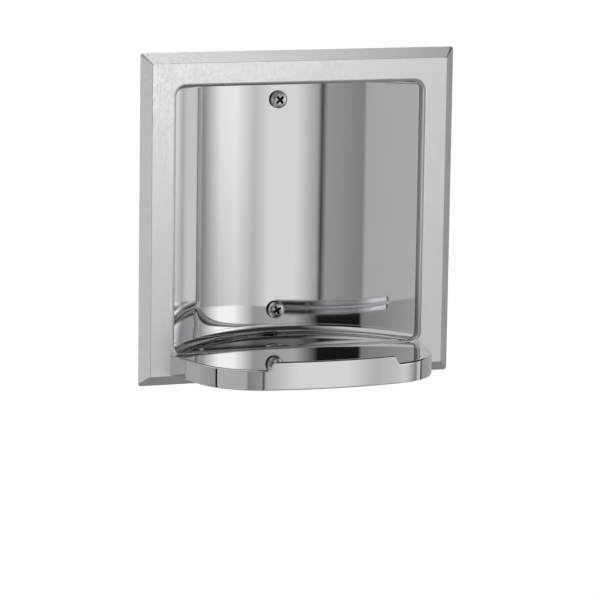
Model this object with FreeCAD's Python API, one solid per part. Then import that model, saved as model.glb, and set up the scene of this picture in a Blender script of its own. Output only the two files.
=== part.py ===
import FreeCAD, Part
import math
import os

# Recessed toilet paper holder for one spare roll, in millimetres.
# Origin: centre of the flange, on the plane where the flange rests on the wall.
# X is to the right, +Y goes into the wall (the front faces -Y), +Z is up.

V = FreeCAD.Vector

# ---- flange: a pressed square frame with a sloping border ----
FLANGE_SIZE = 158.75
FLANGE_DEPTH = 4.2
FLANGE_SHEET = 1.2
BORDER_WIDTH = 4.9
OPENING_WIDTH = 124.6
OPENING_TOP = 63.1
OPENING_BOTTOM = -63.8
OPENING_CORNER_RADIUS = 4.5
OPENING_ROLL_RADIUS = 1.6
RETURN_DEPTH = 4.8

# ---- recess: an upright curved wall between a level top and a floor that rises to the back ----
RECESS_SHEET = 1.0
WALL_RADIUS = 86.0
WALL_BACK = 28.0
TOP_FILLET = 2.6
FLOOR_FILLET = 4.2
FLOOR_ANGLE = 4.25
WALL_TOP = 60.3
WALL_BOTTOM = -57.5

# ---- shelf: a pan flush with its band, which rises in the middle of the front as a stop ----
SHELF_HALF_WIDTH = 64.6
SHELF_SIDE_TAPER = 13.0
SHELF_FRONT = 57.0
SHELF_FRONT_RADIUS = 172.0
SHELF_CORNER_RADIUS = 32.5
LIP_SHEET = 1.5
LIP_BOTTOM = -73.9
LIP_LOW_TOP = -64.1
LIP_RISE = 3.7
LIP_STOP_HALF_WIDTH = 28.8
LIP_RAMP_WIDTH = 4.8
PAN_SHEET = 1.2

# ---- mounting screws, no. 8 pan heads with a cross recess ----
SCREW_HEIGHTS = (52.5, -50.5)
SCREW_RADIUS = 2.08
SCREW_LENGTH = 38.1
HEAD_RADIUS = 4.3
HEAD_RIM = 0.9
HEAD_HEIGHT = 2.7
CROSS_LENGTH = 4.6
CROSS_WIDTH = 1.1
CROSS_DEPTH = 1.5
SCREW_CLEARANCE = 0.25

# ---- doubler plates behind the curved wall, one at each screw ----
DOUBLER_SIZE = 22.0
DOUBLER_SHEET = 1.5

# ---- clamp that grips the back of the wallboard ----
WALLBOARD = 16.0
CLAMP_WIDTH = 22.0
CLAMP_SHEET = 2.0
CLAMP_BACK = 42.0
CLAMP_LEG_HEIGHT = 67.5
CLAMP_FOOT_END = 77.0
CLAMP_RIB_DEPTH = 6.0
CLAMP_BEND_RADIUS = 1.5
NUT_ACROSS_FLATS = 8.7
NUT_THICKNESS = 3.3
NUT_CLEARANCE = 0.05

# ---- allowances ----
CUT_MARGIN = 1.0
MATCH = 0.01
SEAT_GAP = 0.02

HALF = FLANGE_SIZE / 2
OPEN_X = OPENING_WIDTH / 2
RETURN_Y = RETURN_DEPTH - FLANGE_DEPTH
WALL_CENTRE = WALL_BACK - WALL_RADIUS
LIP_HIGH_TOP = LIP_LOW_TOP + LIP_RISE

# A flat screw head bridges the concave wall and rests on its left and right edges.
SEAT_Y = WALL_CENTRE + math.sqrt(WALL_RADIUS**2 - HEAD_RADIUS**2) - SEAT_GAP


def box(low, high):
    """Box between two opposite corners."""
    size = V(*high) - V(*low)
    return Part.makeBox(size.x, size.y, size.z, V(*low))


def closed_polygon(points):
    """Closed wire through the points."""
    return Part.makePolygon(points + points[:1])


def runs_along(edge, axis):
    """Whether a straight edge is parallel to an axis."""
    return abs(abs(edge.tangentAt(edge.FirstParameter).dot(axis)) - 1) < MATCH


def square_frustum(half_back, half_front, y_back, y_front):
    """Four-sided frustum about the Y axis, from one square to another."""
    wires = []
    for half, y in ((half_back, y_back), (half_front, y_front)):
        corners = [V(-half, y, -half), V(half, y, -half), V(half, y, half), V(-half, y, half)]
        wires.append(closed_polygon(corners))
    return Part.makeLoft(wires, True, True)


def opening_prism(grow, y_front, y_back):
    """Prism along Y through the opening, grown outwards, with rounded corners."""
    low = (-OPEN_X - grow, y_front, OPENING_BOTTOM - grow)
    high = (OPEN_X + grow, y_back, OPENING_TOP + grow)
    prism = box(low, high)
    radius = OPENING_CORNER_RADIUS + grow
    long_edges = [edge for edge in prism.Edges if runs_along(edge, V(0, 1, 0))]
    return prism.makeFillet(radius, long_edges)


def is_opening_rim(edge):
    """Whether an edge lies on the flat face, round the opening."""
    bounds = edge.BoundBox
    on_face = abs(bounds.YMin + FLANGE_DEPTH) < MATCH and abs(bounds.YMax + FLANGE_DEPTH) < MATCH
    inside_x = max(bounds.XMax, -bounds.XMin) < OPEN_X + MATCH
    inside_z = bounds.ZMax < OPENING_TOP + MATCH and bounds.ZMin > OPENING_BOTTOM - MATCH
    return on_face and inside_x and inside_z


def flange():
    """Pressed frame: flat face, sloping border, and a short return rolled into the opening."""
    slope = math.hypot(BORDER_WIDTH, FLANGE_DEPTH)
    rim = FLANGE_SHEET * slope / FLANGE_DEPTH
    run_per_depth = BORDER_WIDTH / FLANGE_DEPTH
    hollow_front = FLANGE_DEPTH - FLANGE_SHEET
    outside = square_frustum(HALF, HALF - BORDER_WIDTH, 0, -FLANGE_DEPTH)
    hollow_half = HALF - rim
    hollow = square_frustum(hollow_half, hollow_half - hollow_front * run_per_depth, 0, -hollow_front)
    collar = opening_prism(FLANGE_SHEET, -FLANGE_DEPTH, RETURN_Y)
    opening = opening_prism(0, -FLANGE_DEPTH - CUT_MARGIN, RETURN_Y + CUT_MARGIN)
    shape = outside.cut(hollow).fuse(collar).cut(opening)
    return shape.makeFillet(OPENING_ROLL_RADIUS, [edge for edge in shape.Edges if is_opening_rim(edge)])


def recess_segment(grow, z_low, z_high):
    """Upright prism between the return's plane and the curved back wall, grown outwards."""
    radius = WALL_RADIUS + grow
    half_x = math.sqrt(radius**2 - (RETURN_Y - WALL_CENTRE) ** 2)
    left = V(-half_x, RETURN_Y, z_low)
    right = V(half_x, RETURN_Y, z_low)
    back = V(0, WALL_CENTRE + radius, z_low)
    outline = Part.Wire([Part.LineSegment(left, right).toShape(), Part.Arc(right, back, left).toShape()])
    return Part.Face(outline).extrude(V(0, 0, z_high - z_low))


def recess_body(grow):
    """Recess volume with its curved top and bottom edges rounded."""
    slope = math.radians(FLOOR_ANGLE)
    floor_front = OPENING_BOTTOM - grow / math.cos(slope)
    prism = recess_segment(grow, floor_front, OPENING_TOP + grow)
    wedge = box((-FLANGE_SIZE, 0, -FLANGE_SIZE), (FLANGE_SIZE, FLANGE_SIZE, 0))
    wedge.rotate(V(0, 0, 0), V(1, 0, 0), FLOOR_ANGLE)
    wedge.translate(V(0, RETURN_Y, floor_front))
    prism = prism.cut(wedge)
    top_rims = []
    floor_rims = []
    for edge in prism.Edges:
        if isinstance(edge.Curve, Part.Circle):
            top_rims.append(edge)
        elif isinstance(edge.Curve, Part.Ellipse):
            floor_rims.append(edge)
    return prism.makeFillet(TOP_FILLET + grow, top_rims).makeFillet(FLOOR_FILLET + grow, floor_rims)


def recess_shell():
    """The whole sheet-metal recess before it is divided into its three pieces."""
    return recess_body(RECESS_SHEET).cut(recess_body(0))


def screw_axis_cylinder(radius, y_front, y_back, height):
    """Cylinder along Y on a screw's axis."""
    return Part.makeCylinder(radius, y_back - y_front, V(0, y_front, height), V(0, 1, 0))


def recess_slice(z_low, z_high):
    """The part of the recess shell between two heights."""
    reach = FLANGE_SIZE
    return recess_shell().common(box((-reach, -reach, z_low), (reach, reach, z_high)))


def recess_wall():
    """Curved back wall, rolled about an upright axis, with its two screw holes."""
    wall = recess_slice(WALL_BOTTOM, WALL_TOP)
    for height in SCREW_HEIGHTS:
        hole = screw_axis_cylinder(SCREW_RADIUS + SCREW_CLEARANCE, 0, CLAMP_BACK, height)
        wall = wall.cut(hole)
    return wall


def recess_top():
    """Flat cap over the recess with its back edge turned down into the wall."""
    return recess_slice(WALL_TOP, OPENING_TOP + RECESS_SHEET + CUT_MARGIN)


def recess_floor():
    """Sloping floor of the recess with its back edge turned up into the wall."""
    return recess_slice(OPENING_BOTTOM - RECESS_SHEET - CUT_MARGIN, WALL_BOTTOM)


def shelf_corner():
    """Centre of the shelf's right corner arc, and the outward normals at the arc's two ends."""
    taper = math.radians(SHELF_SIDE_TAPER)
    side_normal = V(math.cos(taper), -math.sin(taper), 0)
    side_run = V(-math.sin(taper), -math.cos(taper), 0)
    front_centre = V(0, SHELF_FRONT_RADIUS - SHELF_FRONT, 0)
    side_start = V(SHELF_HALF_WIDTH, -FLANGE_DEPTH, 0)
    start = side_start - side_normal * SHELF_CORNER_RADIUS - front_centre
    along = start.dot(side_run)
    reach = SHELF_FRONT_RADIUS - SHELF_CORNER_RADIUS
    run = math.sqrt(along**2 - start.dot(start) + reach**2) - along
    from_front = start + side_run * run
    centre = front_centre + from_front
    return centre, side_normal, from_front.normalize()


def shelf_plan(inset, z_low, z_high):
    """Prism of the shelf's outline: sides that taper forwards, round corners, a bowed front."""
    centre, side_normal, front_normal = shelf_corner()
    corner = SHELF_CORNER_RADIUS - inset
    half_x = SHELF_HALF_WIDTH - inset / side_normal.x
    middle_normal = (side_normal + front_normal).normalize()
    right = [V(half_x, -FLANGE_DEPTH, 0)]
    for normal in (side_normal, middle_normal, front_normal):
        right.append(centre + normal * corner)
    left = [V(-point.x, point.y, 0) for point in right]
    edges = [
        Part.LineSegment(left[0], right[0]),
        Part.LineSegment(right[0], right[1]),
        Part.Arc(right[1], right[2], right[3]),
        Part.Arc(right[3], V(0, inset - SHELF_FRONT, 0), left[3]),
        Part.Arc(left[3], left[2], left[1]),
        Part.LineSegment(left[1], left[0]),
    ]
    outline = Part.Face(Part.Wire([edge.toShape() for edge in edges]))
    outline.translate(V(0, 0, z_low))
    return outline.extrude(V(0, 0, z_high - z_low))


def lip_profile_cutter():
    """Everything above the band's top line: low at the sides, raised across the middle."""
    low = LIP_LOW_TOP
    high = LIP_HIGH_TOP
    inner = LIP_STOP_HALF_WIDTH
    outer = inner + LIP_RAMP_WIDTH
    radius = (LIP_RAMP_WIDTH**2 + LIP_RISE**2) / (4 * LIP_RISE)
    half_turn = math.asin(LIP_RAMP_WIDTH / 2 / radius) / 2
    run = radius * math.sin(half_turn)
    drop = radius * (1 - math.cos(half_turn))
    edge_x = SHELF_HALF_WIDTH + CUT_MARGIN
    above = high + CUT_MARGIN
    y = -SHELF_FRONT - CUT_MARGIN

    def point(x, z):
        return V(x, y, z)

    def ramp(side):
        middle = point(side * (inner + outer) / 2, (low + high) / 2)
        upper = Part.Arc(point(side * inner, high), point(side * (inner + run), high - drop), middle)
        lower = Part.Arc(middle, point(side * (outer - run), low + drop), point(side * outer, low))
        return [upper, lower]

    edges = ramp(1) + ramp(-1)
    edges += [
        Part.LineSegment(point(-inner, high), point(inner, high)),
        Part.LineSegment(point(outer, low), point(edge_x, low)),
        Part.LineSegment(point(edge_x, low), point(edge_x, above)),
        Part.LineSegment(point(edge_x, above), point(-edge_x, above)),
        Part.LineSegment(point(-edge_x, above), point(-edge_x, low)),
        Part.LineSegment(point(-edge_x, low), point(-outer, low)),
    ]
    ordered = Part.__sortEdges__([edge.toShape() for edge in edges])
    return Part.Face(Part.Wire(ordered)).extrude(V(0, -y, 0))


def shelf_lip():
    """Upright band round the shelf, raised in the middle of the front as a stop."""
    inside = shelf_plan(LIP_SHEET, LIP_BOTTOM - CUT_MARGIN, LIP_HIGH_TOP + CUT_MARGIN)
    return shelf_plan(0, LIP_BOTTOM, LIP_HIGH_TOP).cut(inside).cut(lip_profile_cutter())


def shelf_pan():
    """Level top sheet of the shelf, turned down along the flange where it is welded on."""
    block = shelf_plan(LIP_SHEET, LIP_BOTTOM, LIP_LOW_TOP)
    reach = FLANGE_SIZE
    low = (-reach, -reach, LIP_BOTTOM - CUT_MARGIN)
    high = (reach, -FLANGE_DEPTH - PAN_SHEET, LIP_LOW_TOP - PAN_SHEET)
    return block.cut(box(low, high))


def mounting_screws():
    """Two pan-head screws, heads on the curved wall and shanks running back to the clamp."""
    screws = []
    face_y = SEAT_Y - HEAD_HEIGHT
    rim_y = SEAT_Y - HEAD_RIM
    dome_rise = HEAD_HEIGHT - HEAD_RIM
    dome_radius = (HEAD_RADIUS**2 + dome_rise**2) / (2 * dome_rise)
    long_half = CROSS_LENGTH / 2
    short_half = CROSS_WIDTH / 2
    for height in SCREW_HEIGHTS:
        rim = screw_axis_cylinder(HEAD_RADIUS, rim_y, SEAT_Y, height)
        ball = Part.makeSphere(dome_radius, V(0, face_y + dome_radius, height))
        dome = ball.common(screw_axis_cylinder(HEAD_RADIUS, face_y, rim_y, height))
        shank = screw_axis_cylinder(SCREW_RADIUS, SEAT_Y, SEAT_Y + SCREW_LENGTH, height)
        screw = rim.fuse(dome).fuse(shank).removeSplitter()
        for half_x, half_z in ((long_half, short_half), (short_half, long_half)):
            slot = box(
                (-half_x, face_y - CUT_MARGIN, height - half_z),
                (half_x, face_y + CROSS_DEPTH, height + half_z),
            )
            screw = screw.cut(slot)
        screws.append(screw)
    return Part.makeCompound(screws)


def screw_doublers():
    """Square plates welded behind the curved wall to stiffen it at the screws."""
    plates = []
    half = DOUBLER_SIZE / 2
    skin_back = recess_segment(RECESS_SHEET + DOUBLER_SHEET, WALL_BOTTOM, WALL_TOP)
    skin = skin_back.cut(recess_segment(RECESS_SHEET, OPENING_BOTTOM, OPENING_TOP))
    for height in SCREW_HEIGHTS:
        plate = skin.common(box((-half, 0, height - half), (half, CLAMP_BACK, height + half)))
        plates.append(plate.cut(screw_axis_cylinder(SCREW_RADIUS + SCREW_CLEARANCE, 0, CLAMP_BACK, height)))
    return Part.makeCompound(plates)


def clamp_width_prism(points):
    """Prism as wide as the clamp, from a closed outline of (y, z) points."""
    corners = [V(-CLAMP_WIDTH / 2, y, z) for y, z in points]
    return Part.Face(closed_polygon(corners)).extrude(V(CLAMP_WIDTH, 0, 0))


def wall_clamp():
    """Bent steel strap: two feet press forward on the wallboard's back, joined by a ribbed bar."""
    sheet = CLAMP_SHEET
    leg = CLAMP_LEG_HEIGHT
    front = CLAMP_BACK - sheet
    outline = [
        (WALLBOARD, -CLAMP_FOOT_END),
        (WALLBOARD + sheet, -CLAMP_FOOT_END),
        (WALLBOARD + sheet, -leg - sheet),
        (CLAMP_BACK, -leg - sheet),
        (CLAMP_BACK, leg + sheet),
        (WALLBOARD + sheet, leg + sheet),
        (WALLBOARD + sheet, CLAMP_FOOT_END),
        (WALLBOARD, CLAMP_FOOT_END),
        (WALLBOARD, leg),
        (front, leg),
        (front, -leg),
        (WALLBOARD, -leg),
    ]
    strap = clamp_width_prism(outline)
    bends = []
    for edge in strap.Edges:
        if runs_along(edge, V(1, 0, 0)) and abs(abs(edge.CenterOfMass.z) - leg) < 2 * sheet:
            bends.append(edge)
    strap = strap.makeFillet(CLAMP_BEND_RADIUS, bends)
    rib_back = CLAMP_BACK + CLAMP_RIB_DEPTH
    rib_half = leg - 2 * sheet
    for low_x in (-CLAMP_WIDTH / 2, CLAMP_WIDTH / 2 - sheet):
        rib = box((low_x, CLAMP_BACK, -rib_half), (low_x + sheet, rib_back, rib_half))
        strap = strap.fuse(rib)
    for height in SCREW_HEIGHTS:
        hole = screw_axis_cylinder(SCREW_RADIUS + SCREW_CLEARANCE, 0, rib_back, height)
        strap = strap.cut(hole)
    return strap.removeSplitter()


def clamp_nuts():
    """Hexagon nuts welded to the back of the clamp, one for each screw."""
    nuts = []
    corner_radius = NUT_ACROSS_FLATS / 2 / math.cos(math.pi / 6)
    nut_back = CLAMP_BACK + NUT_THICKNESS
    for height in SCREW_HEIGHTS:
        corners = []
        for step in range(6):
            angle = math.pi / 3 * step
            x = corner_radius * math.cos(angle)
            z = height + corner_radius * math.sin(angle)
            corners.append(V(x, CLAMP_BACK, z))
        prism = Part.Face(closed_polygon(corners)).extrude(V(0, NUT_THICKNESS, 0))
        bore = screw_axis_cylinder(SCREW_RADIUS + NUT_CLEARANCE, 0, nut_back, height)
        nuts.append(prism.cut(bore))
    return Part.makeCompound(nuts)


PARTS = (
    flange,
    recess_wall,
    recess_top,
    recess_floor,
    shelf_pan,
    shelf_lip,
    mounting_screws,
    screw_doublers,
    wall_clamp,
    clamp_nuts,
)

os.makedirs("parts", exist_ok=True)
for make in PARTS:
    shape = make()
    shape.exportStep(os.path.join("parts", make.__name__ + ".step"))
    bounds = shape.BoundBox
    print(
        "%-16s valid %s solids %d volume %.0f x %.1f..%.1f y %.1f..%.1f z %.1f..%.1f"
        % (
            make.__name__,
            shape.isValid(),
            len(shape.Solids),
            shape.Volume,
            bounds.XMin,
            bounds.XMax,
            bounds.YMin,
            bounds.YMax,
            bounds.ZMin,
            bounds.ZMax,
        )
    )
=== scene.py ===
import math

import bmesh
import bpy
from mathutils import Matrix, Vector


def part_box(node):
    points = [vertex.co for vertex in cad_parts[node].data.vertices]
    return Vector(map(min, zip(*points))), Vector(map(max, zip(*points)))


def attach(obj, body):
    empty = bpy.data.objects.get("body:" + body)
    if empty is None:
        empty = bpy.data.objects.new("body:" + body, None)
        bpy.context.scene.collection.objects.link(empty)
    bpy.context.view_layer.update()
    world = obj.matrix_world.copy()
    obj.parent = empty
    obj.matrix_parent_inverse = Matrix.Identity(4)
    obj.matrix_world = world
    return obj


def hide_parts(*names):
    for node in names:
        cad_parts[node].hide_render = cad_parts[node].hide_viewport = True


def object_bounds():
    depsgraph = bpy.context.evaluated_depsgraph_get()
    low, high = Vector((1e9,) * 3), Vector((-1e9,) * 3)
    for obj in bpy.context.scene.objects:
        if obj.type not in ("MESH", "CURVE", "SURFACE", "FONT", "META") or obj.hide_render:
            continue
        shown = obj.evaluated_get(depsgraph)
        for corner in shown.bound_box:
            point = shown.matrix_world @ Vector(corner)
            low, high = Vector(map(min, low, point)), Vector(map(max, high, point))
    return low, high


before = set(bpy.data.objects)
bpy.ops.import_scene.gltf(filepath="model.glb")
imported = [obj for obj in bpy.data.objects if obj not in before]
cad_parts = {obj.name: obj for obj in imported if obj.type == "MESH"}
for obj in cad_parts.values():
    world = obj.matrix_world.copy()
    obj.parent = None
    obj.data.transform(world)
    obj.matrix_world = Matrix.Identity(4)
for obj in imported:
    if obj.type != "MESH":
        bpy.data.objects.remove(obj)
cad_low, cad_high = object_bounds()

MM = 0.001

# ---- sizes that the frame gives, in metres ----
flange_low, flange_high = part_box("flange")
wall_low, wall_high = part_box("recess_wall")
lip_low, lip_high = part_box("shelf_lip")
pan_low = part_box("shelf_pan")[0]
screws_low, screws_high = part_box("mounting_screws")

HALF = flange_high.x
FACE_Y = flange_low.y
RETURN_Y = flange_high.y
WALL_TOP = wall_high.z
WALL_BOTTOM = wall_low.z

# ---- sheet sizes and radii ----
FLANGE_SHEET = 1.2 * MM
RECESS_SHEET = 1.0 * MM
LIP_SHEET = 1.5 * MM
PAN_SHEET = 1.2 * MM
BORDER_WIDTH = 4.9 * MM
OPEN_X = 62.3 * MM
OPEN_TOP = 63.1 * MM
OPEN_BOTTOM = -63.8 * MM
OPENING_CORNER = 4.5 * MM
ROLL_RADIUS = 1.9 * MM
WALL_RADIUS = 86.0 * MM
WALL_BACK = wall_high.y - RECESS_SHEET
WALL_CENTRE = WALL_BACK - WALL_RADIUS
TOP_FILLET = 2.6 * MM
FLOOR_FILLET = 4.2 * MM
FLOOR_ANGLE = math.radians(4.25)

SHELF_SIDE_TAPER = math.radians(13)
SHELF_FRONT_RADIUS = 172.0 * MM
SHELF_CORNER_RADIUS = 32.5 * MM
LIP_RISE = 3.7 * MM
LIP_LOW_TOP = lip_high.z - LIP_RISE
STOP_HALF_WIDTH = 28.8 * MM
STOP_RAMP = 4.8 * MM
STOP_FOOT_RADIUS = 1.2 * MM

# Each screw: label, height, and how far its cross recess is turned.
SCREWS = (
    ("upper", 52.5 * MM, math.radians(42)),
    ("lower", -50.5 * MM, math.radians(28)),
)
SCREW_RADIUS = 2.08 * MM
THREAD_PITCH = 0.794 * MM
THREAD_DEPTH = 0.5 * MM
HEAD_RADIUS = screws_high.x
HEAD_RIM = 0.9 * MM
HEAD_HEIGHT = 2.7 * MM
HEAD_EDGE = 0.35 * MM
CROSS_DEPTH = 1.5 * MM
CROSS_HALF_WING = 0.62 * MM
CROSS_WING_SLOPE = 0.12 * MM
CROSS_REACH = 2.3 * MM
CROSS_END_SLOPE = 0.9 * MM
# Painted shade, near-black steel: the rim beyond this share of the radius, and the cross below this depth.
RIM_SHADE = 0.965
CROSS_SHADE = 0.15 * MM

# Faces that meet at more than this are shaded as a sharp edge.
SHARP_ANGLE = math.radians(28)


# ---------------------------------------------------------------- mesh helpers
def arc_angles(start, end, steps):
    """Evenly spaced angles in radians, from start to end in degrees, both included."""
    return [math.radians(start + (end - start) * i / steps) for i in range(steps + 1)]


def make_object(name, points, faces):
    """Mesh object with smooth faces and sharp edges where faces turn by more than SHARP_ANGLE."""
    mesh = bpy.data.meshes.new(name)
    mesh.from_pydata([tuple(p) for p in points], [], faces)
    shape = bmesh.new()
    shape.from_mesh(mesh)
    bmesh.ops.remove_doubles(shape, verts=shape.verts, dist=1e-6)
    bmesh.ops.dissolve_degenerate(shape, edges=shape.edges, dist=1e-7)
    bmesh.ops.recalc_face_normals(shape, faces=shape.faces)
    for face in shape.faces:
        face.smooth = True
    for edge in shape.edges:
        if len(edge.link_faces) == 2:
            edge.smooth = edge.calc_face_angle() < SHARP_ANGLE
    shape.to_mesh(mesh)
    shape.free()
    piece = bpy.data.objects.new(name, mesh)
    bpy.context.scene.collection.objects.link(piece)
    return piece


def sweep(name, sections, closed=False):
    """Closed skin through loops of equal length. Open sweeps get a cap at each end."""
    count = len(sections[0])
    points = [p for section in sections for p in section]
    faces = []
    steps = len(sections) if closed else len(sections) - 1
    for i in range(steps):
        near = i * count
        far = ((i + 1) % len(sections)) * count
        for j in range(count):
            k = (j + 1) % count
            faces.append((near + j, near + k, far + k, far + j))
    if not closed:
        last = (len(sections) - 1) * count
        faces.append(tuple(range(count)))
        faces.append(tuple(last + j for j in reversed(range(count))))
    return make_object(name, points, faces)


def keep_flats(piece):
    """Face-weighted normals, so that small rounds don't shade the flats beside them."""
    weighted = piece.modifiers.new("flat_faces", "WEIGHTED_NORMAL")
    weighted.keep_sharp = True
    weighted.weight = 80
    return piece


def place(piece, body, slot, material, *nodes):
    """Gives a piece its body and material, and hides the CAD nodes it stands for; the slot argument is not
    used.
    """
    piece.data.materials.clear()
    piece.data.materials.append(material)
    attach(piece, body)
    if nodes:
        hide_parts(*nodes)
    return piece


# ---------------------------------------------------------------- materials
def new_material(name):
    material = bpy.data.materials.new(name)
    material.use_nodes = True
    nodes = material.node_tree.nodes
    return material, nodes, material.node_tree.links, nodes["Principled BSDF"]


def noise(nodes, links, coords, scale, detail, stretch=(1, 1, 1)):
    """Noise in object space, scaled per axis."""
    mapping = nodes.new("ShaderNodeMapping")
    mapping.inputs["Scale"].default_value = stretch
    texture = nodes.new("ShaderNodeTexNoise")
    texture.inputs["Scale"].default_value = scale
    texture.inputs["Detail"].default_value = detail
    links.new(coords.outputs["Object"], mapping.inputs["Vector"])
    links.new(mapping.outputs["Vector"], texture.inputs["Vector"])
    return texture.outputs["Fac"]


def ranged(nodes, links, value, low, high):
    """A 0 to 1 value mapped to low to high."""
    node = nodes.new("ShaderNodeMapRange")
    node.inputs["From Min"].default_value = 0.25
    node.inputs["From Max"].default_value = 0.75
    node.inputs["To Min"].default_value = low
    node.inputs["To Max"].default_value = high
    links.new(value, node.inputs["Value"])
    return node.outputs["Result"]


def tinted(nodes, links, factor, dark, light):
    """Colour between two greys."""
    node = nodes.new("ShaderNodeMix")
    node.data_type = "RGBA"
    node.inputs[6].default_value = (*dark, 1)
    node.inputs[7].default_value = (*light, 1)
    links.new(factor, node.inputs["Factor"])
    return node.outputs[2]


def bumped(nodes, links, shader, layers):
    """Bump from several height layers, each (height, strength, distance)."""
    previous = None
    for height, strength, distance in layers:
        bump = nodes.new("ShaderNodeBump")
        bump.inputs["Strength"].default_value = strength
        bump.inputs["Distance"].default_value = distance
        links.new(height, bump.inputs["Height"])
        if previous:
            links.new(previous, bump.inputs["Normal"])
        previous = bump.outputs["Normal"]
    links.new(previous, shader.inputs["Normal"])


def polished_steel():
    """Mirror-polished stainless: faint waviness, light haze and fine wipe marks."""
    material, nodes, links, shader = new_material("polished_stainless")
    coords = nodes.new("ShaderNodeTexCoord")
    waves = noise(nodes, links, coords, 18, 1)
    haze = noise(nodes, links, coords, 45, 4)
    wipes = noise(nodes, links, coords, 60, 5, (1, 1, 14))
    shader.inputs["Metallic"].default_value = 1
    links.new(
        tinted(nodes, links, haze, (0.80, 0.80, 0.81), (0.84, 0.84, 0.845)),
        shader.inputs["Base Color"],
    )
    links.new(ranged(nodes, links, haze, 0.025, 0.06), shader.inputs["Roughness"])
    bumped(nodes, links, shader, [(waves, 0.05, 0.4 * MM), (wipes, 0.01, 0.05 * MM)])
    return material


def satin_steel():
    """Satin stainless: fine even grain, soft broad highlights."""
    material, nodes, links, shader = new_material("satin_stainless")
    coords = nodes.new("ShaderNodeTexCoord")
    grain = noise(nodes, links, coords, 1100, 4, (1, 1, 0.6))
    cloud = noise(nodes, links, coords, 25, 3)
    shader.inputs["Metallic"].default_value = 1
    links.new(
        tinted(nodes, links, cloud, (0.76, 0.76, 0.765), (0.81, 0.81, 0.815)),
        shader.inputs["Base Color"],
    )
    links.new(ranged(nodes, links, grain, 0.32, 0.42), shader.inputs["Roughness"])
    bumped(nodes, links, shader, [(grain, 0.12, 0.03 * MM)])
    return material


def screw_metal():
    """Bright screw steel with turning marks and small scuffs."""
    material, nodes, links, shader = new_material("screw_steel")
    coords = nodes.new("ShaderNodeTexCoord")
    scuffs = noise(nodes, links, coords, 700, 4)
    shader.inputs["Metallic"].default_value = 1
    links.new(
        tinted(nodes, links, scuffs, (0.72, 0.72, 0.73), (0.86, 0.86, 0.87)),
        shader.inputs["Base Color"],
    )
    links.new(ranged(nodes, links, scuffs, 0.22, 0.34), shader.inputs["Roughness"])
    bumped(nodes, links, shader, [(scuffs, 0.1, 0.03 * MM)])
    return material


def screw_shadow():
    """Painted shade for the screw's punched cross and the edge of its head: near-black steel with random
    tone.
    """
    material, nodes, links, shader = new_material("screw_recess_painted_shade")
    coords = nodes.new("ShaderNodeTexCoord")
    shade_mottle = noise(nodes, links, coords, 1200, 3)
    shader.inputs["Metallic"].default_value = 1
    links.new(
        tinted(nodes, links, shade_mottle, (0.015, 0.015, 0.016), (0.06, 0.06, 0.062)),
        shader.inputs["Base Color"],
    )
    links.new(ranged(nodes, links, shade_mottle, 0.3, 0.5), shader.inputs["Roughness"])
    bumped(nodes, links, shader, [(shade_mottle, 0.2, 0.03 * MM)])
    return material


def mill_steel():
    """Mill-finish stainless with rolling lines."""
    material, nodes, links, shader = new_material("mill_stainless")
    coords = nodes.new("ShaderNodeTexCoord")
    rolling = noise(nodes, links, coords, 400, 4, (0.05, 1, 1))
    shader.inputs["Metallic"].default_value = 1
    links.new(
        tinted(nodes, links, rolling, (0.5, 0.5, 0.51), (0.66, 0.66, 0.67)),
        shader.inputs["Base Color"],
    )
    links.new(ranged(nodes, links, rolling, 0.3, 0.48), shader.inputs["Roughness"])
    bumped(nodes, links, shader, [(rolling, 0.15, 0.03 * MM)])
    return material


def zinc_plate():
    """Zinc plating: bluish, spangled and slightly dull."""
    material, nodes, links, shader = new_material("zinc_plate")
    coords = nodes.new("ShaderNodeTexCoord")
    cells = nodes.new("ShaderNodeTexVoronoi")
    cells.inputs["Scale"].default_value = 260
    links.new(coords.outputs["Object"], cells.inputs["Vector"])
    spangle = cells.outputs["Distance"]
    dirt = noise(nodes, links, coords, 60, 5)
    shader.inputs["Metallic"].default_value = 1
    links.new(
        tinted(nodes, links, spangle, (0.52, 0.54, 0.57), (0.7, 0.72, 0.75)),
        shader.inputs["Base Color"],
    )
    links.new(ranged(nodes, links, dirt, 0.3, 0.5), shader.inputs["Roughness"])
    bumped(nodes, links, shader, [(dirt, 0.1, 0.05 * MM)])
    return material


# ---------------------------------------------------------------- flange
def rounded_ring(low, high, radius, y):
    """Rectangle with rounded corners in a plane of constant y, between two (x, z) corners."""
    points = []
    corners = (
        (high[0] - radius, high[1] - radius, 0),
        (low[0] + radius, high[1] - radius, 90),
        (low[0] + radius, low[1] + radius, 180),
        (high[0] - radius, low[1] + radius, 270),
    )
    for centre_x, centre_z, start in corners:
        for angle in arc_angles(start, start + 90, 10):
            x = centre_x + radius * math.cos(angle)
            z = centre_z + radius * math.sin(angle)
            points.append(Vector((x, y, z)))
    return points


def square_ring(half, radius, y):
    return rounded_ring((-half, -half), (half, half), radius, y)


def opening_ring(grow, y):
    low = (-OPEN_X - grow, OPEN_BOTTOM - grow)
    high = (OPEN_X + grow, OPEN_TOP + grow)
    return rounded_ring(low, high, OPENING_CORNER + grow, y)


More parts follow.
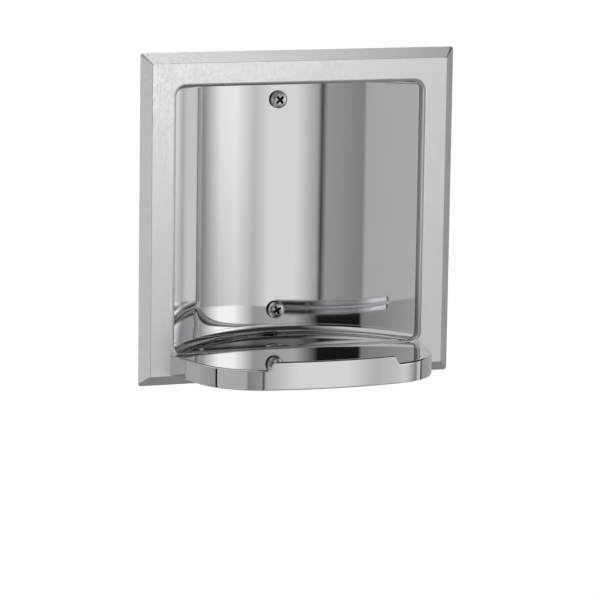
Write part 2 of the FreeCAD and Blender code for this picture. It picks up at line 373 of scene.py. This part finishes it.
def build_flange():
    """Pressed frame with softly rounded press lines and a rolled opening."""
    edge_round = 0.35 * MM
    press_round = 0.5 * MM
    back_land = 1.7 * MM
    back_press = 0.4 * MM
    outer_corner = 1.5 * MM
    inner_corner = 0.5 * MM
    slope = math.atan2(-FACE_Y, BORDER_WIDTH)
    face_half = HALF - BORDER_WIDTH
    rings = [square_ring(HALF - back_land, outer_corner, 0)]
    rings.append(square_ring(HALF - edge_round, outer_corner, 0))
    for angle in arc_angles(0, 90 - math.degrees(slope), 4):
        half = HALF - edge_round + edge_round * math.sin(angle)
        rings.append(square_ring(half, outer_corner, -edge_round * (1 - math.cos(angle))))
    tangent = press_round * math.tan(slope / 2)
    for angle in arc_angles(math.degrees(slope), 0, 5):
        half = face_half - tangent + press_round * math.sin(angle)
        rings.append(square_ring(half, inner_corner, FACE_Y + press_round * (1 - math.cos(angle))))
    for angle in arc_angles(0, 90, 10):
        y = FACE_Y + ROLL_RADIUS * (1 - math.cos(angle))
        rings.append(opening_ring(ROLL_RADIUS * (1 - math.sin(angle)), y))
    sheet = FLANGE_SHEET
    rings.append(opening_ring(0, RETURN_Y))
    rings.append(opening_ring(sheet, RETURN_Y))
    rings.append(opening_ring(sheet, FACE_Y + 2 * sheet))
    rings.append(opening_ring(2 * sheet, FACE_Y + sheet))
    rings.append(square_ring(face_half - back_press, inner_corner, FACE_Y + sheet))
    return keep_flats(sweep("flange_face", rings, closed=True))


# ---------------------------------------------------------------- recess
def on_arc(radius, fraction, z):
    """Point on an arc about the wall's centre; fraction runs from -1 to 1 across the opening."""
    limit = math.acos(min(1, (RETURN_Y - WALL_CENTRE) / radius))
    angle = fraction * limit
    return Vector((radius * math.sin(angle), WALL_CENTRE + radius * math.cos(angle), z))


def fractions(count):
    return [2 * i / count - 1 for i in range(count + 1)]


def build_recess_wall():
    """Curved back wall."""
    heights = [WALL_BOTTOM + (WALL_TOP - WALL_BOTTOM) * i / 12 for i in range(13)]
    sections = []
    for fraction in fractions(160):
        inside = [on_arc(WALL_RADIUS, fraction, z) for z in heights]
        outside = [on_arc(WALL_RADIUS + RECESS_SHEET, fraction, z) for z in reversed(heights)]
        sections.append(inside + outside)
    return sweep("recess_wall_sheet", sections)


def cap_profile(fraction, grow, sign, seam, level, fillet, slope):
    """Half-section of the top (sign 1) or floor (sign -1): (distance from the wall's centre, z) pairs."""
    wall = WALL_RADIUS + grow
    radius = fillet + grow
    limit = math.acos((RETURN_Y - WALL_CENTRE) / wall)
    lean = math.cos(fraction * limit)
    tilt = math.atan(math.tan(slope) * lean)
    chord = (RETURN_Y - WALL_CENTRE) / lean
    start = level + sign * grow / math.cos(tilt)
    corner = start - sign * (wall - chord) * math.tan(tilt)
    centre_z = corner - sign * radius * math.tan(math.pi / 4 - tilt / 2)
    points = [(wall, seam), (wall, (seam + centre_z) / 2)]
    for angle in arc_angles(0, 90 - math.degrees(tilt), 20):
        across = wall - radius + radius * math.cos(angle)
        points.append((across, centre_z + sign * radius * math.sin(angle)))
    flat_start, flat_z = points[-1]
    for i in range(1, 13):
        points.append((flat_start + (chord - flat_start) * i / 12, flat_z + (start - flat_z) * i / 12))
    return points


def build_recess_cap(name, sign, seam, level, fillet, slope):
    """Floor or top with its back edge turned into the wall by a fillet."""
    sections = []
    for fraction in fractions(160):
        inside = cap_profile(fraction, 0, sign, seam, level, fillet, slope)
        outside = cap_profile(fraction, RECESS_SHEET, sign, seam, level, fillet, slope)
        section = [on_arc(r, fraction, z) for r, z in inside]
        wall = WALL_RADIUS + RECESS_SHEET
        limit = math.acos((RETURN_Y - WALL_CENTRE) / wall)
        angle = fraction * limit
        for r, z in reversed(outside):
            section.append(Vector((r * math.sin(angle), WALL_CENTRE + r * math.cos(angle), z)))
        sections.append(section)
    return keep_flats(sweep(name, sections))


# ---------------------------------------------------------------- shelf
def shelf_corner():
    """Centre of the shelf's right corner arc in plan, and the outward normals at its two ends."""
    side_normal = Vector((math.cos(SHELF_SIDE_TAPER), -math.sin(SHELF_SIDE_TAPER)))
    side_run = Vector((-math.sin(SHELF_SIDE_TAPER), -math.cos(SHELF_SIDE_TAPER)))
    front_centre = Vector((0, lip_low.y + SHELF_FRONT_RADIUS))
    start = Vector((lip_high.x, lip_high.y)) - side_normal * SHELF_CORNER_RADIUS - front_centre
    along = start.dot(side_run)
    reach = SHELF_FRONT_RADIUS - SHELF_CORNER_RADIUS
    run = math.sqrt(along**2 - start.dot(start) + reach**2) - along
    from_front = start + side_run * run
    return front_centre + from_front, side_normal, from_front.normalized()


def shelf_path():
    """Plan of the shelf's outer face from right to left: (point, outward normal) pairs."""
    corner, side_normal, front_normal = shelf_corner()
    front_centre = Vector((0, lip_low.y + SHELF_FRONT_RADIUS))
    side_start = Vector((lip_high.x, lip_high.y))
    side_end = corner + side_normal * SHELF_CORNER_RADIUS
    half = [(side_start.lerp(side_end, i / 8), side_normal) for i in range(9)]
    side_angle = math.degrees(math.atan2(side_normal.y, side_normal.x))
    front_angle = math.degrees(math.atan2(front_normal.y, front_normal.x))
    for angle in arc_angles(side_angle, front_angle, 48)[1:]:
        normal = Vector((math.cos(angle), math.sin(angle)))
        half.append((corner + SHELF_CORNER_RADIUS * normal, normal))
    for angle in arc_angles(front_angle, -90, 120)[1:]:
        normal = Vector((math.cos(angle), math.sin(angle)))
        half.append((front_centre + SHELF_FRONT_RADIUS * normal, normal))
    mirrored = [(Vector((-p.x, p.y)), Vector((-n.x, n.y))) for p, n in reversed(half[:-1])]
    return half + mirrored


def lip_top(x, y):
    """Height of the band's top: raised across the middle of the front, with S-curved ends."""
    outer = STOP_HALF_WIDTH + STOP_RAMP
    if y > (lip_low.y + lip_high.y) / 2 or abs(x) >= outer:
        return LIP_LOW_TOP
    if abs(x) <= STOP_HALF_WIDTH:
        return lip_high.z
    radius = (STOP_RAMP**2 + LIP_RISE**2) / (4 * LIP_RISE)
    run = abs(x) - STOP_HALF_WIDTH
    if run < STOP_RAMP / 2:
        return lip_high.z - radius + math.sqrt(radius**2 - run**2)
    return LIP_LOW_TOP + radius - math.sqrt(radius**2 - (STOP_RAMP - run) ** 2)


def build_shelf_band():
    """Band round the shelf: its top rolls over into the pan, or stands up as the stop."""
    foot = 0.4 * MM
    roll_over = 0.95 * MM
    stop_round = 0.65 * MM
    sections = []
    for point, normal in shelf_path():
        crown = lip_top(point.x, point.y)
        raised = min(1, (crown - LIP_LOW_TOP) / LIP_SHEET)
        outer = roll_over + (stop_round - roll_over) * raised
        inner = stop_round * raised
        loop = []
        for angle in arc_angles(-90, 0, 3):
            loop.append((foot * math.cos(angle) - foot, lip_low.z + foot + foot * math.sin(angle)))
        loop += [(0, lip_low.z + 1.5 * MM), (0, (lip_low.z + crown) / 2)]
        for angle in arc_angles(0, 90, 8):
            loop.append((outer * math.cos(angle) - outer, crown - outer + outer * math.sin(angle)))
        for angle in arc_angles(90, 180, 6):
            out = inner * math.cos(angle) + inner - LIP_SHEET
            loop.append((out, crown - inner + inner * math.sin(angle)))
        foot_round = STOP_FOOT_RADIUS * raised
        for angle in arc_angles(0, 90, 8):
            out = foot_round * (math.cos(angle) - 1) - LIP_SHEET
            loop.append((out, LIP_LOW_TOP + foot_round * (1 - math.sin(angle))))
        loop += [(-LIP_SHEET, LIP_LOW_TOP - 0.3 * MM), (-LIP_SHEET, lip_low.z)]
        sections.append([Vector((*(point + normal * out), z)) for out, z in loop])
    return keep_flats(sweep("shelf_band", sections))


def pan_half_width():
    """Half width of the pan where it meets the flange."""
    return lip_high.x - LIP_SHEET / math.cos(SHELF_SIDE_TAPER)


def pan_front(x):
    """Where the pan's front edge meets the band, at a given x."""
    corner, side_normal, front_normal = shelf_corner()
    radius = SHELF_CORNER_RADIUS - LIP_SHEET
    front_radius = SHELF_FRONT_RADIUS - LIP_SHEET
    across = abs(x)
    if across <= corner.x + radius * front_normal.x:
        return lip_low.y + SHELF_FRONT_RADIUS - math.sqrt(front_radius**2 - across**2)
    if across <= corner.x + radius * side_normal.x:
        return corner.y - math.sqrt(radius**2 - (across - corner.x) ** 2)
    return lip_high.y - (pan_half_width() - across) / math.tan(SHELF_SIDE_TAPER)


def build_shelf_pan():
    """Top sheet of the shelf, rounded down along the flange into its weld web."""
    half_x = pan_half_width()
    bend = 0.5 * MM
    steps = 96
    sections = []
    for step in range(steps + 1):
        x = half_x * math.sin(math.radians(90) * (2 * step / steps - 1))
        front = pan_front(x)
        back = lip_high.y
        loop = []
        for i in range(9):
            loop.append((front + (max(front, back - bend) - front) * i / 8, LIP_LOW_TOP))
        for angle in arc_angles(90, 0, 5)[1:]:
            loop.append((back - bend + bend * math.cos(angle), LIP_LOW_TOP - bend + bend * math.sin(angle)))
        loop.append((back, pan_low.z))
        loop.append((back - PAN_SHEET, pan_low.z))
        loop.append((back - PAN_SHEET, LIP_LOW_TOP - PAN_SHEET))
        loop.append((min(front, back - 2 * PAN_SHEET), LIP_LOW_TOP - PAN_SHEET))
        sections.append([Vector((x, y, z)) for y, z in loop])
    return keep_flats(sweep("shelf_pan_sheet", sections))


# ---------------------------------------------------------------- screws
def cross_depth(across, along):
    """Depth of a cross recess with tapered wings, at a point on the screw's face."""
    depth = 0
    for u, v in ((across, along), (along, across)):
        wing = min(1, max(0, (CROSS_HALF_WING - abs(u)) / CROSS_WING_SLOPE))
        reach = min(1, max(0, (CROSS_REACH - abs(v)) / CROSS_END_SLOPE))
        depth = max(depth, CROSS_DEPTH * wing * reach**0.7)
    return depth


def build_screw(name, height, turn):
    """Pan head of a screw, with a cross recess."""
    seat = screws_low.y + HEAD_HEIGHT
    face = screws_low.y
    rise = HEAD_HEIGHT - HEAD_RIM
    edge = HEAD_EDGE

    def dome(radius):
        return rise * (1 - math.sqrt(1 - (radius / HEAD_RADIUS) ** 3))

    around = 144
    rings = 44
    dome_share = 0.92
    sections = []
    radii = [HEAD_RADIUS * dome_share * i / rings for i in range(rings + 1)]
    for radius in radii:
        ring = []
        for k in range(around):
            angle = 2 * math.pi * k / around
            x, z = radius * math.cos(angle), radius * math.sin(angle)
            u = x * math.cos(turn) + z * math.sin(turn)
            v = z * math.cos(turn) - x * math.sin(turn)
            y = face + dome(radius) + cross_depth(u, v)
            ring.append(Vector((x, y, height + z)))
        sections.append(ring)

    def plain_ring(radius, y):
        ring = []
        for k in range(around):
            angle = 2 * math.pi * k / around
            ring.append(Vector((radius * math.cos(angle), y, height + radius * math.sin(angle))))
        return ring

    last = radii[-1]
    start_y = face + dome(last)
    for t in (0.25, 0.5, 0.75):
        bulge = math.sin(t * math.pi / 2)
        radius = last + (HEAD_RADIUS - last) * bulge
        sections.append(plain_ring(radius, start_y + (seat - edge - start_y) * t**2))
    sections.append(plain_ring(HEAD_RADIUS, seat - edge))
    sections.append(plain_ring(HEAD_RADIUS - edge * 0.3, seat - edge * 0.3))
    sections.append(plain_ring(HEAD_RADIUS - edge, seat))
    sections.append(plain_ring(SCREW_RADIUS * 1.02, seat))
    return keep_flats(sweep(name, sections))


def shade_recess(head, height, turn, material):
    """Second material, with painted shade, for a head's punched cross and the edge of its rim."""
    head.data.materials.append(material)
    for face in head.data.polygons:
        x, z = face.center.x, face.center.z - height
        u = x * math.cos(turn) + z * math.sin(turn)
        v = z * math.cos(turn) - x * math.sin(turn)
        in_rim = math.hypot(x, z) > HEAD_RADIUS * RIM_SHADE
        if in_rim or cross_depth(u, v) > CROSS_SHADE:
            face.material_index = 1


def build_thread(name, height):
    """Threaded shank behind a screw's head, pointed at its end."""
    around = 20
    point_length = 1.2 * MM
    point_slope = 0.7
    start = screws_low.y + HEAD_HEIGHT
    end = screws_high.y
    steps = int((end - start) / THREAD_PITCH * 8)
    sections = []
    for i in range(steps + 1):
        y = start + (end - start) * i / steps
        fade = min(1, (y - start) / (2 * THREAD_PITCH), (end - y) / THREAD_PITCH)
        ring = []
        for k in range(around):
            angle = 2 * math.pi * k / around
            phase = ((y - start) / THREAD_PITCH + k / around) % 1
            groove = abs(2 * phase - 1)
            radius = SCREW_RADIUS - THREAD_DEPTH * groove * fade
            if y > end - point_length:
                radius = min(radius, SCREW_RADIUS - (y - end + point_length) * point_slope)
            ring.append(Vector((radius * math.cos(angle), y, height + radius * math.sin(angle))))
        sections.append(ring)
    return sweep(name, sections)


# ---------------------------------------------------------------- hidden hardware
def soften(node, width):
    """Small rounds on a CAD node's edges."""
    weld = node.modifiers.new("weld", "WELD")
    weld.merge_threshold = 1e-5
    planes = node.modifiers.new("flat_planes", "DECIMATE")
    planes.decimate_type = "DISSOLVE"
    planes.angle_limit = math.radians(1)
    bevel = node.modifiers.new("edge_rounds", "BEVEL")
    bevel.width = width
    bevel.segments = 2
    bevel.limit_method = "ANGLE"
    bevel.angle_limit = math.radians(40)
    keep_flats(node)


# ---------------------------------------------------------------- build
polished = polished_steel()
satin = satin_steel()
screw_steel = screw_metal()
# near-black material that paints shade into the screws' crosses and rim edges
screw_painted_shade = screw_shadow()
mill = mill_steel()
zinc = zinc_plate()

flange_piece = place(build_flange(), "housing", "satin_stainless", satin, "flange")
place(build_recess_wall(), "housing", "polished_stainless", polished, "recess_wall")
recess_floor = build_recess_cap("recess_floor_sheet", -1, WALL_BOTTOM, OPEN_BOTTOM, FLOOR_FILLET, FLOOR_ANGLE)
place(recess_floor, "housing", "polished_stainless", polished, "recess_floor")
recess_top = build_recess_cap("recess_top_sheet", 1, WALL_TOP, OPEN_TOP, TOP_FILLET, 0)
place(recess_top, "housing", "polished_stainless", polished, "recess_top")
place(build_shelf_band(), "housing", "polished_stainless", polished, "shelf_lip")
place(build_shelf_pan(), "housing", "polished_stainless", polished, "shelf_pan")
for label, height, turn in SCREWS:
    head = build_screw("screw_head_" + label, height, turn)
    place(head, "housing", "screw_steel", screw_steel, "mounting_screws")
    # paints shade into the cross and the edge of the rim
    shade_recess(head, height, turn, screw_painted_shade)
    thread = build_thread("screw_thread_" + label, height)
    place(thread, "housing", "screw_steel", screw_steel, "mounting_screws")

for node, material, slot in (
    ("screw_doublers", mill, "mill_stainless"),
    ("wall_clamp", zinc, "zinc_plate"),
    ("clamp_nuts", zinc, "zinc_plate"),
):
    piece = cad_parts[node]
    piece.data.materials.clear()
    piece.data.materials.append(material)
    soften(piece, 0.3 * MM)


# ---------------------------------------------------------------- camera, light and floor
CAMERA_PLACE = Vector((-0.5930, -1.5778, 0.2438))
CAMERA_YAW = 20.67
CAMERA_PITCH = 9.60
CAMERA_ROLL = 0.86
CAMERA_LENS = 213.44
FLOOR_DEPTH = 1.8
FLOOR_HALF = 1.1

# The studio is a ring of soft cards round the object, as (degrees to the right of straight out,
# level): a grey card far left, a darker one beside it, a narrow black gap, a light card ahead and
# a bright one to the right. The upper row has a black card in place of the darker one. Places and
# levels come from the photo: greys measured across its polished wall were turned into light levels
# by angle of reflection, then adjusted and thinned to these steps.
LOW_CARDS = (
    (-90, 0.5),
    (-37, 0.45),
    (-35, 0.25),
    (-12, 0.35),
    (-8.5, 0.05),
    (-6, 0.4),
    (8, 0.8),
    (25, 0.8),
    (36, 0.6),
    (50, 1.0),
    (62, 0.95),
    (77, 0.3),
    (85, 0.7),
)
HIGH_CARDS = (
    (-90, 0.5),
    (-36, 0.25),
    (-34, 0.01),
    (-8, 0.01),
    (8, 0.5),
    (35, 0.4),
    (50, 1.2),
    (62, 1.2),
    (77, 0.35),
    (85, 0.7),
)
# How much of each card is left at its lower edge (low cards) or its upper edge (high cards).
LOW_FADE = (
    (25, 1.0),
    (50, 0.7),
    (65, 0.6),
    (90, 1.0),
)
HIGH_FADE = (
    (-36, 0.8),
    (-30, 1.0),
    (-8, 1.0),
    (0, 0.35),
    (45, 0.3),
    (55, 0.15),
    (75, 0.15),
)
# Level behind the wall's plane, by distance behind it along a unit direction.
BACK_CARDS = (
    (0.05, 0.0),
    (0.08, 0.33),
    (0.6, 0.4),
    (1.0, 0.55),
)
# Level overhead, by distance to the right along a unit direction.
OVERHEAD_CARDS = (
    (-0.3, 0.6),
    (0.1, 0.03),
)
BELOW_LEVEL = 0.26
# Soft edges of the cards, each from where it starts to where it ends, along a unit direction:
# heights, and for BACK_EDGE the distance behind the wall's plane.
ROW_EDGE = (-0.03, 0.03)
LOW_EDGE = (-0.10, -0.19)
HIGH_EDGE = (0.18, 0.32)
BACK_EDGE = (-0.01, 0.01)
BELOW_EDGE = (-0.28, -0.5)
OVERHEAD_EDGE = (0.34, 0.5)
# Soft boxes that light the flange alone: name, place, size and power.
FLANGE_LIGHTS = (
    ("face_light", Vector((0.20, -0.90, 0.10)), 0.25, 0.45),
    ("top_light", Vector((0.21, -0.46, 1.09)), 0.5, 1.55),
    ("side_light", Vector((-1.05, -0.55, -0.15)), 0.5, 0.38),
)


def make_camera():
    data = bpy.data.cameras.new("camera")
    data.lens = CAMERA_LENS
    data.sensor_width = 36
    data.clip_end = 50
    camera = bpy.data.objects.new("camera", data)
    turn = Matrix.Rotation(math.radians(-CAMERA_YAW), 4, "Z")
    tilt = Matrix.Rotation(math.radians(90 - CAMERA_PITCH), 4, "X")
    roll = Matrix.Rotation(math.radians(CAMERA_ROLL), 4, "Z")
    camera.matrix_world = Matrix.Translation(CAMERA_PLACE) @ turn @ tilt @ roll
    bpy.context.scene.collection.objects.link(camera)
    bpy.context.scene.camera = camera


def make_floor():
    """Plain pale floor, well below the wall-mounted object."""
    z = cad_low.z - FLOOR_DEPTH
    signs = ((-1, -1), (1, -1), (1, 1), (-1, 1))
    corners = [(across * FLOOR_HALF, out * FLOOR_HALF, z) for across, out in signs]
    floor = make_object("floor", corners, [(0, 1, 2, 3)])
    material, nodes, links, shader = new_material("floor_paper")
    coords = nodes.new("ShaderNodeTexCoord")
    mottle = noise(nodes, links, coords, 3, 2)
    links.new(tinted(nodes, links, mottle, (0.9, 0.9, 0.9), (0.93, 0.93, 0.93)), shader.inputs["Base Color"])
    shader.inputs["Roughness"].default_value = 0.8
    floor.data.materials.append(material)
    floor.visible_glossy = False  # the steel reflects the studio's lower light instead


def math_node(nodes, links, operation, *values):
    node = nodes.new("ShaderNodeMath")
    node.operation = operation
    for socket, value in zip(node.inputs, values):
        if isinstance(value, (int, float)):
            socket.default_value = value
        else:
            links.new(value, socket)
    return node.outputs[0]


def card_ramp(nodes, links, value, low, high, stops):
    """Grey levels at the given stops along a value that runs from low to high."""
    ramp = nodes.new("ShaderNodeValToRGB")
    elements = ramp.color_ramp.elements
    elements.remove(elements[-1])
    elements[0].position = (stops[0][0] - low) / (high - low)
    for place, level in stops[1:]:
        elements.new((place - low) / (high - low))
    for element, (place, level) in zip(elements, stops):
        element.color = (level, level, level, 1)
    spread = nodes.new("ShaderNodeMapRange")
    spread.inputs["From Min"].default_value = low
    spread.inputs["From Max"].default_value = high
    links.new(value, spread.inputs["Value"])
    links.new(spread.outputs["Result"], ramp.inputs["Fac"])
    return ramp.outputs["Color"]


def smooth_step(nodes, links, value, start, end):
    """0 at start and 1 at end, with a soft curve between."""
    node = nodes.new("ShaderNodeMapRange")
    node.interpolation_type = "SMOOTHSTEP"
    node.inputs["From Min"].default_value = start
    node.inputs["From Max"].default_value = end
    links.new(value, node.inputs["Value"])
    return node.outputs["Result"]


def blend_colors(nodes, links, factor, first, second, blend_type="MIX"):
    """Blend of two colours, each a socket or a grey level."""
    node = nodes.new("ShaderNodeMix")
    node.data_type = "RGBA"
    node.blend_type = blend_type
    links.new(factor, node.inputs["Factor"])
    for socket, color in ((node.inputs[6], first), (node.inputs[7], second)):
        if isinstance(color, (int, float)):
            socket.default_value = (color, color, color, 1)
        else:
            links.new(color, socket)
    return node.outputs[2]


def make_studio():
    """World light: cards that only reflections see, and plain white for the camera and matt surfaces."""
    world = bpy.data.worlds.new("studio")
    bpy.context.scene.world = world
    world.use_nodes = True
    nodes = world.node_tree.nodes
    links = world.node_tree.links
    coords = nodes.new("ShaderNodeTexCoord")
    split = nodes.new("ShaderNodeSeparateXYZ")
    links.new(coords.outputs["Generated"], split.inputs[0])
    forward = math_node(nodes, links, "MULTIPLY", split.outputs["Y"], -1.0)
    angle = math_node(nodes, links, "ARCTAN2", split.outputs["X"], forward)
    degrees = math_node(nodes, links, "MULTIPLY", angle, 180 / math.pi)
    rise = split.outputs["Z"]
    low = card_ramp(nodes, links, degrees, -90, 90, LOW_CARDS)
    low_fade = card_ramp(nodes, links, degrees, -90, 90, LOW_FADE)
    high = card_ramp(nodes, links, degrees, -90, 90, HIGH_CARDS)
    high_fade = card_ramp(nodes, links, degrees, -90, 90, HIGH_FADE)
    below = smooth_step(nodes, links, rise, *LOW_EDGE)
    low = blend_colors(nodes, links, below, low, low_fade, "MULTIPLY")
    above = smooth_step(nodes, links, rise, *HIGH_EDGE)
    high = blend_colors(nodes, links, above, high, high_fade, "MULTIPLY")
    cards = blend_colors(nodes, links, smooth_step(nodes, links, rise, *ROW_EDGE), low, high)
    depth = split.outputs["Y"]
    behind = card_ramp(nodes, links, depth, 0, 1, BACK_CARDS)
    cards = blend_colors(nodes, links, smooth_step(nodes, links, depth, *BACK_EDGE), cards, behind)
    cards = blend_colors(nodes, links, smooth_step(nodes, links, rise, *BELOW_EDGE), cards, BELOW_LEVEL)
    overhead = card_ramp(nodes, links, split.outputs["X"], -1, 1, OVERHEAD_CARDS)
    cards = blend_colors(nodes, links, smooth_step(nodes, links, rise, *OVERHEAD_EDGE), cards, overhead)
    background = nodes["Background"]
    links.new(cards, background.inputs["Color"])
    white = nodes.new("ShaderNodeBackground")
    white.inputs["Color"].default_value = (1, 1, 1, 1)
    path = nodes.new("ShaderNodeLightPath")
    to_camera = path.outputs["Is Camera Ray"]
    plain = math_node(nodes, links, "MAXIMUM", to_camera, path.outputs["Is Diffuse Ray"])
    mix = nodes.new("ShaderNodeMixShader")
    links.new(plain, mix.inputs["Fac"])
    links.new(background.outputs[0], mix.inputs[1])
    links.new(white.outputs[0], mix.inputs[2])
    links.new(mix.outputs[0], nodes["World Output"].inputs["Surface"])


def make_flange_light(name, place_at, size, power, group):
    """Soft box that shades only the flange."""
    data = bpy.data.lights.new(name, "AREA")
    data.shape = "SQUARE"
    data.size = size
    data.energy = power
    light = bpy.data.objects.new(name, data)
    light.location = place_at
    light.rotation_euler = (-place_at).to_track_quat("-Z", "Y").to_euler()
    light.visible_camera = False
    bpy.context.scene.collection.objects.link(light)
    light.light_linking.receiver_collection = group


make_camera()
make_floor()
make_studio()
flange_group = bpy.data.collections.new("flange_light_receivers")
flange_group.objects.link(flange_piece)
for flange_light in FLANGE_LIGHTS:
    make_flange_light(*flange_light, flange_group)
bpy.context.scene.view_settings.view_transform = "Standard"
